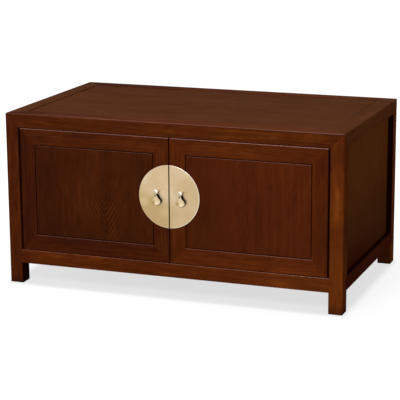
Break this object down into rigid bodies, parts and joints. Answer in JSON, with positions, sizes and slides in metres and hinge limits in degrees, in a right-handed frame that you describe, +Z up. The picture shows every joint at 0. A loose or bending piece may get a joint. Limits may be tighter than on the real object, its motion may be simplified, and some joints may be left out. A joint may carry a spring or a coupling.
{
  "type": "kang cabinet",
  "caption": "Low wooden cabinet on square posts with a mitred flush top, two inset panelled doors on hidden pivots, and a round split brass plate with drop pulls.",
  "frame": {"origin": "on the floor, at the centre of the whole outline with the pulls", "axes": "+X along the front to the viewer's right, -Y out of the doors towards the viewer, +Z up"},
  "size_m": [0.914, 0.5473, 0.457],
  "materials": {
    "frame_wood": "reddish-brown stained hardwood, satin lacquer",
    "panel_wood": "darker reddish-brown stained hardwood, satin lacquer",
    "inner_wood": "brown stained wood, matt",
    "brass": "brushed, satin",
    "steel": "bright zinc"
  },
  "bodies": {
    "cabinet": {"right_front_post": "frame_wood", "left_front_post": "frame_wood", "right_back_post": "frame_wood", "left_back_post": "frame_wood", "front_top_rail": "frame_wood", "back_top_rail": "frame_wood", "right_top_rail": "frame_wood", "left_top_rail": "frame_wood", "front_bottom_rail": "frame_wood", "back_bottom_rail": "frame_wood", "right_bottom_rail": "frame_wood", "left_bottom_rail": "frame_wood", "top_panel": "panel_wood", "right_side_panel": "panel_wood", "left_side_panel": "panel_wood", "back_panel": "inner_wood", "floor_panel": "inner_wood", "right_top_batten": "inner_wood", "left_top_batten": "inner_wood", "right_floor_batten": "inner_wood", "left_floor_batten": "inner_wood", "door_stop_top": "inner_wood", "door_stop_bottom": "inner_wood", "pivot_bushes": "brass", "thrust_washers": "brass", "catch_magnets": "steel"},
    "right_door": {"right_door_outer_stile": "frame_wood", "right_door_inner_stile": "frame_wood", "right_door_top_rail": "frame_wood", "right_door_bottom_rail": "frame_wood", "right_door_panel": "panel_wood", "right_pivot_pins": "brass", "right_catch_plate": "steel", "right_half_plate": "brass", "right_pull_post": "brass", "right_pull_pin": "brass", "right_pull_washer": "brass", "right_pull_nut": "brass"},
    "left_door": {"left_door_outer_stile": "frame_wood", "left_door_inner_stile": "frame_wood", "left_door_top_rail": "frame_wood", "left_door_bottom_rail": "frame_wood", "left_door_panel": "panel_wood", "left_pivot_pins": "brass", "left_catch_plate": "steel", "left_half_plate": "brass", "left_pull_post": "brass", "left_pull_pin": "brass", "left_pull_washer": "brass", "left_pull_nut": "brass"},
    "right_pull": {"right_pull_drop": "brass"},
    "left_pull": {"left_pull_drop": "brass"}
  },
  "joints": [
    {"name": "right_door_hinge", "type": "hinge", "parent": "cabinet", "child": "right_door", "pos_m": [0.4055, -0.25175, 0.2562], "axis": [0, 0, 1], "range_deg": [0, 110]},
    {"name": "left_door_hinge", "type": "hinge", "parent": "cabinet", "child": "left_door", "pos_m": [-0.4055, -0.25175, 0.2562], "axis": [0, 0, -1], "range_deg": [0, 110]},
    {"name": "right_pull_swing", "type": "hinge", "parent": "right_door", "child": "right_pull", "pos_m": [0.033, -0.26775, 0.2795], "axis": [-1, 0, 0], "range_deg": [-5, 90]},
    {"name": "left_pull_swing", "type": "hinge", "parent": "left_door", "child": "left_pull", "pos_m": [-0.033, -0.26775, 0.2795], "axis": [-1, 0, 0], "range_deg": [-5, 90]}
  ]
}
